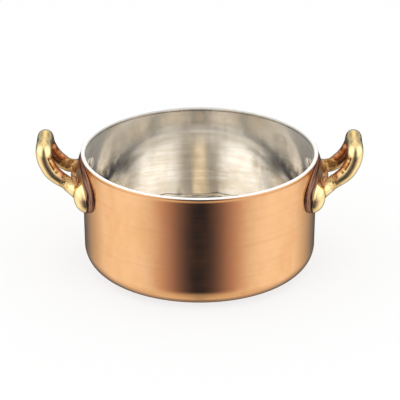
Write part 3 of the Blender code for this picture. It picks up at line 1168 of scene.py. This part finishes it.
    def sky_hidden(self, tree: BVHTree, point: Vector, normal: Vector) -> float:
        """Measures how much of the sky a point doesn't see.

        Args:
            tree: what can hide the sky.
            point: the point.
            normal: the point's normal.

        Returns:
            The hidden share of the half sphere over the point, weighted by its slope.
        """
        start = point + normal * self.shelter_start
        across = normal.orthogonal().normalized()
        along = normal.cross(across)
        sky = self.sky
        rays = (across * x + along * y + normal * z for x, y, z in sky)
        hits = [tree.ray_cast(start, ray, self.shelter_reach)[0] is not None for ray in rays]
        return sum(hits) / len(sky)

    @property
    def sky(self) -> list[Size]:
        """Spreads rays over a half sphere round +Z, closer together near its top.

        Returns:
            Their directions.
        """
        golden = math.pi * (3 - math.sqrt(5))
        rays = []
        for step in range(self.shelter_rays):
            height = math.sqrt(1 - (step + 0.5) / self.shelter_rays)
            flat = math.sqrt(1 - height**2)
            rays.append((flat * math.cos(golden * step), flat * math.sin(golden * step), height))
        return rays

    def hiding(self, mesh: Mesh) -> BVHTree:
        """Puts together what can hide the sky from the casting.

        Args:
            mesh: the casting's mesh.

        Returns:
            The casting and the pot's wall as one search tree.
        """
        wall = turn_mesh("wall", [*reversed(self.cup.section(0.0))], self.shelter_wall_steps)
        whole = bmesh.new()
        whole.from_mesh(mesh)
        whole.from_mesh(wall.data)
        tree = BVHTree.FromBMesh(whole)
        whole.free()
        remove(wall)
        return tree

    def mark(self, mesh: Mesh) -> dict[str, list[float]]:
        """Stores the numbers that the brass reads: shelter, level and root.

        Args:
            mesh: the casting's mesh.

        Returns:
            The three numbers of each point, by name.
        """
        tree = self.hiding(mesh)
        count = len(mesh.vertices)
        probes = range(0, count, max(1, count // self.shelter_probes))
        near = KDTree(len(probes))
        hidden = []
        for slot, index in enumerate(probes):
            vertex = mesh.vertices[index]
            near.insert(vertex.co, slot)
            hidden.append(self.sky_hidden(tree, vertex.co, vertex.normal))
        near.balance()
        marks = {"shelter": [], "level": [], "root": []}
        for vertex in mesh.vertices:
            found = near.find_n(vertex.co, self.shelter_near)
            weights = [1.0 / (distance + self.shelter_soft) ** 2 for _, _, distance in found]
            total = sum(weight * hidden[slot] for weight, (_, slot, _) in zip(weights, found))
            marks["shelter"].append(total / sum(weights))
            marks["level"].append(self.level(vertex.co))
            marks["root"].append(self.root_distance(vertex.co) / MM)
        for name, values in marks.items():
            mesh.attributes.new(name, "FLOAT", "POINT").data.foreach_set("value", values)
        return marks

    def roughen(self, mesh: Mesh, marks: dict[str, list[float]]) -> None:
        """Gives the arms' roots and the web the grainy skin of a rough casting.

        Args:
            mesh: the casting's mesh, whose points are moved.
            marks: the numbers of each point.
        """
        normals = [vertex.normal.copy() for vertex in mesh.vertices]
        points = zip(mesh.vertices, normals, marks["level"], marks["root"])
        for vertex, normal, level, root in points:
            rough = min(1.0, max(0.0, self.rough_reach - root))
            rough *= min(1.0, max(0.0, level - self.rough_level))
            grain = noise.noise(vertex.co / self.rough_grain)
            vertex.co += normal * self.rough_depth * rough * grain

    def level(self, point: Vector) -> float:
        """Measures a point's height over the wall against the flange's two steps.

        Args:
            point: the point.

        Returns:
            0 at the border's face and 1 at the raised plate's.
        """
        out = math.hypot(point.x, point.y) - self.cup.radius
        rise = point.z - self.cup.height
        down = (self.flange_top - rise) / (self.flange_top - self.flange_shoulder)
        down = min(1.0, max(0.0, down))
        thin, middle, thick = self.flange_steps_out
        border = thin + down * (middle - thin)
        plate = middle + down * (thick - middle)
        return (out - border) / (plate - border)

    def root_distance(self, point: Vector) -> float:
        """Measures how far a point is from the line between the two arms' roots.

        Args:
            point: the point.

        Returns:
            The distance in metres.
        """
        side = min(self.arm_side, max(-self.arm_side, point.y))
        root = self.loop_point(self.root_share * self.grip_out, side, self.web_rise)
        return math.dist(point, root)

    def blank(self) -> Object:
        """Makes the finished casting.

        Returns:
            The casting, at +X.
        """
        side, rise, size, lean = self.lobe_side, self.lobe_rise, self.lobe_size, self.lobe_lean
        lobes = [self.make_boss("lobe", hand * side, rise, size, hand * lean) for hand in (-1, 1)]
        wide, tall = self.web_spread
        web_size = (self.web_out, wide * self.arm_side, tall * self.arm_radius)
        web = self.make_boss("web", 0.0, self.web_rise, web_size)
        thin, middle, thick = self.flange_steps_out
        border = self.make_flange("flange_border", 0.0, middle, thin)
        plate = self.make_flange("flange", self.border, thick, middle)
        casting = self.fuse([self.make_loop(), border, plate, web, *lobes])
        self.roughen(casting.data, self.mark(casting.data))
        return smoothed(boolean(casting, self.make_seat(), "DIFFERENCE"), self.crisp_angle)


@dataclass
class HandlePair:
    """Both handles: the same casting, turned half a turn for the left side."""

    casting: CastHandle
    finish: PolishedBrass = PolishedBrass()

    def build(self) -> None:
        """Builds and dresses both handles."""
        blank = self.casting.blank()
        material = self.finish.material()
        for hand in Hand:
            mesh = blank.data.copy()
            mesh.transform(Matrix.Rotation(math.radians(hand.value), 4, "Z"))
            handle = link("brass_handle_" + hand.label, mesh)
            dress(handle, material, "brass", "handle_" + hand.label)
        remove(blank)


@dataclass
class RivetSet:
    """The four rivets, of which only the low heads inside the pot show.

    The angle is from the handle's middle to a rivet, and the rise is above the rim.
    """

    cup: Cup
    angle: float = 16.5
    rise: float = -9.9 * MM
    head_radius: float = 1.9 * MM
    head_height: float = 0.75 * MM
    shank_radius: float = 1.1 * MM
    depth: float = 2.4 * MM
    clearance: float = 0.1 * MM
    edge_share: float = 0.25
    dome_steps: int = 12
    steps: int = 64
    finish: WipedTin = WipedTin(colour=(0.8, 0.77, 0.68), roughness=0.42)

    def place(self, angle: float) -> Matrix:
        """Finds where a rivet's head meets the lining.

        Args:
            angle: the rivet's turn round the pot in degrees.

        Returns:
            The place there, with its own +Z pointing out through the wall.
        """
        height = self.cup.height + self.rise
        lining = self.cup.inner_radius_at(height)
        seat = math.sqrt(lining**2 - self.head_radius**2) - self.clearance
        radial = Matrix.Rotation(math.radians(angle), 4, "Z")
        lying = Matrix.Rotation(math.pi / 2, 4, "Y")
        return radial @ Matrix.Translation((seat, 0.0, height)) @ lying

    def profile(self) -> list[Point]:
        """Lays out a rivet: a low domed head with a rounded edge, and the shank.

        Returns:
            Its (radius, height) points.
        """
        height = self.cup.height + self.rise
        length = self.cup.radius_at(height) + self.depth - self.place(0.0).translation.x
        head, shank = self.head_radius, self.shank_radius
        rim = self.edge_share * self.head_height
        dome = self.head_height - rim
        steps = [math.radians(90.0 * step / self.dome_steps) for step in range(self.dome_steps)]
        bulge = [(head * math.cos(step), -rim - dome * math.sin(step)) for step in steps]
        pin = [(0.0, length), (shank, length), (shank, 0.0)]
        return [*pin, (head, 0.0), *bulge, (0.0, -self.head_height)]

    def build(self) -> None:
        """Builds and dresses the four rivets."""
        material = self.finish.material("tinned_heads")
        for hand in Hand:
            near = -1.0 if hand is Hand.RIGHT else 1.0
            for place, side in (("near", near), ("far", -near)):
                name = f"{hand.label}_{place}"
                rivet = turn_mesh("tinned_rivet_" + name, self.profile(), self.steps)
                rivet.data.transform(self.place(hand.value + side * self.angle))
                dress(rivet, material, "tin", "rivet_" + name)


def grey(value: float, warmth: float) -> Colour:
    """A light's colour, warmer as warmth grows from 0 to 1."""
    return value, value * (1.0 - 0.16 * warmth), value * (1.0 - 0.4 * warmth)


def tones(warmth: float, *steps: Point) -> tuple[Stop, ...]:
    """Lights of one warmth, from pairs of turn and brightness."""
    return tuple((turn, grey(value, warmth)) for turn, value in steps)


@dataclass
class Studio:
    """A pale floor under soft light.

    The metals mirror the studio's bright and dark fields, which the world holds by direction:
    dark towards the camera, bright softboxes at both sides, a warm wall behind and a dim ceiling.
    """

    floor_size: float = 6.0
    white: Colour = (1.0, 1.0, 1.0)
    paper: Colour = (0.8, 0.8, 0.8)
    shadow_share: float = 0.22
    lamp_place: Size = (0.0, -0.1, 0.9)
    lamp_size: float = 1.0
    lamp_power: float = 3.0

    def rows(self) -> list[tuple[float, tuple[Stop, ...]]]:
        """Lays out the fields from straight down to straight up.

        Returns:
            Each row's rise, and its lights by their turn in degrees from the camera's side.
        """
        dark, dusk = (0.024, 0.026, 0.047), (0.45, 0.31, 0.32)
        steep = tones(0.5, (0, 0.4), (40, 0.8), (100, 0.9), (140, 0.5), (180, 0.3))
        low = ((0, dark), (7, dark), (13, (0.078, 0.07, 0.09)), (21, (0.2, 0.145, 0.165)))
        low += ((30, dusk), (38, (0.64, 0.48, 0.43)), (46, (0.82, 0.75, 0.72)))
        low += tones(0.0, (55, 0.97), (64, 1.06), (76, 1.1)) + tones(0.2, (110, 1.04))
        low += tones(0.5, (118, 0.84)) + tones(0.6, (135, 0.52))
        low += tones(0.0, (150, 0.2), (165, 0.08))
        level = tones(0.3, (0, 0.05), (12, 0.08), (26, 0.5), (36, 0.95), (60, 1.1))
        level += tones(0.3, (110, 1.0), (130, 0.6), (150, 0.45), (180, 0.6))
        sides = tones(0.0, (0, 0.1), (10, 0.12), (22, 0.5), (33, 1.0), (60, 1.56))
        sides += tones(0.0, (104, 1.56), (118, 1.4), (134, 1.02))
        lifted = sides + tones(0.5, (142, 0.72), (149, 0.52), (160, 0.48), (170, 0.7), (180, 0.9))
        raised = sides + tones(0.4, (142, 0.74), (149, 0.45), (160, 0.38))
        raised += tones(0.95, (168, 0.75), (174, 1.08), (180, 1.08))
        high = sides + tones(0.4, (146, 0.85), (160, 0.9), (180, 1.05))
        ceiling = tones(0.0, (0, 0.5), (90, 0.9), (180, 1.0))
        rises = (-0.9, -0.62, -0.15, 0.05, 0.24, 0.36, 0.44, 0.58, 0.86, 0.98)
        fields = (steep, low, low, level, lifted, raised, raised, high, high, ceiling)
        return list(zip(rises, fields))

    def fields(self, graph: Graph, direction: Socket) -> Socket:
        """Blends the rows by how much a direction rises.

        Args:
            graph: the world's graph.
            direction: the direction.

        Returns:
            The light that comes from there.
        """
        x, y, z = graph.parts(direction)
        cosine = graph.math("DIVIDE", graph.times(y, -1.0), graph.most(graph.length(x, y), TINY))
        turn = graph.math("DIVIDE", graph.math("ARCCOSINE", cosine), math.pi)
        seen, below = None, 0.0
        for rise, stops in self.rows():
            colour = graph.ramp(turn, [(angle / 180, tone) for angle, tone in stops])
            seen = colour if seen is None else graph.mix(graph.remap(z, below, rise), seen, colour)
            below = rise
        return seen

    def make_world(self) -> None:
        """Makes a world that is white to all but the metals, which mirror the studio's fields."""
        world = bpy.data.worlds.new("studio")
        bpy.context.scene.world = world
        world.use_nodes = True
        graph = Graph(world.node_tree)
        direction = graph.add("ShaderNodeTexCoord").outputs["Generated"]
        glossy = graph.add("ShaderNodeLightPath").outputs["Is Glossy Ray"]
        seen = graph.mix(glossy, self.white, self.fields(graph, direction))
        light = graph.add("ShaderNodeBackground", {"Color": seen})
        graph.add("ShaderNodeOutputWorld", {"Surface": light.outputs[0]})

    def paint_floor(self) -> Material:
        """Makes the floor's paint: it keeps the pot's shadow, and the metals look through it.

        Returns:
            The material.
        """
        material = bpy.data.materials.new("pale_floor")
        material.use_nodes = True
        material.cycles.emission_sampling = "NONE"
        graph = Graph(material.node_tree)
        glow = graph.add("ShaderNodeEmission", {"Color": self.white}).outputs[0]
        paper = graph.add("ShaderNodeBsdfDiffuse", {"Color": self.paper}).outputs[0]
        clear = graph.add("ShaderNodeBsdfTransparent").outputs[0]
        path = graph.add("ShaderNodeLightPath").outputs
        lit = graph.times(path["Is Camera Ray"], 1.0 - self.shadow_share)
        surface = graph.add("ShaderNodeMixShader", {0: lit, 1: paper, 2: glow}).outputs[0]
        glossy = {0: path["Is Glossy Ray"], 1: surface, 2: clear}
        surface = graph.add("ShaderNodeMixShader", glossy).outputs[0]
        graph.add("ShaderNodeOutputMaterial", {"Surface": surface})
        return material

    def make_floor(self) -> None:
        """Makes the pale floor."""
        half = self.floor_size / 2
        corners = [(-half, -half, 0.0), (half, -half, 0.0), (half, half, 0.0), (-half, half, 0.0)]
        mesh = bpy.data.meshes.new("floor")
        mesh.from_pydata(corners, [], [(0, 1, 2, 3)])
        mesh.materials.append(self.paint_floor())
        floor = link("floor", mesh)

    def make_lamp(self) -> None:
        """Makes a square soft lamp that points at the pot and that the metals don't mirror."""
        place = Vector(self.lamp_place)
        lamp = bpy.data.lights.new("top_lamp", "AREA")
        lamp.size = self.lamp_size
        lamp.energy = self.lamp_power
        obj = link("top_lamp", lamp)
        obj.location = place
        obj.rotation_euler = (-place).to_track_quat("-Z", "Y").to_euler()
        obj.visible_glossy = False
        obj.visible_camera = False

    def build(self) -> None:
        """Sets the world, the floor and the lamp."""
        self.make_world()
        self.make_floor()
        self.make_lamp()
        bpy.context.scene.view_settings.view_transform = "Standard"


@dataclass
class Camera:
    """The photograph's view: a long lens, looking down at the pot's middle."""

    distance: float = 0.9
    elevation: float = 24.5
    target: float = 22.0 * MM
    focal_pixels: float = 2559.0
    centre: Point = (199.54, 202.15)
    frame: float = 400.0
    sensor: float = 36.0
    near: float = 0.01

    def build(self) -> None:
        """Places the camera and makes it the scene's."""
        data = bpy.data.cameras.new("camera")
        data.sensor_width = self.sensor
        data.lens = self.focal_pixels * self.sensor / self.frame
        data.shift_x = (self.frame / 2 - self.centre[0]) / self.frame
        data.shift_y = (self.centre[1] - self.frame / 2) / self.frame
        data.clip_start = self.near
        camera = link("camera", data)
        tilt = math.radians(self.elevation)
        back, up = self.distance * math.cos(tilt), self.distance * math.sin(tilt)
        camera.location = (0.0, -back, self.target + up)
        camera.rotation_euler = (math.pi / 2 - tilt, 0.0, 0.0)
        bpy.context.scene.camera = camera


def main() -> None:
    """Builds the studio and every piece of the pot."""
    logging.basicConfig(level=logging.INFO, format="%(name)s: %(message)s")
    Camera().build()
    Studio().build()
    cup = Cup()
    PotBody(cup).build()
    TinLining(cup).build()
    quality = Quality.FINAL
    HandlePair(CastHandle(cup, quality.value)).build()
    RivetSet(cup).build()


if __name__ == "__main__":
    main()
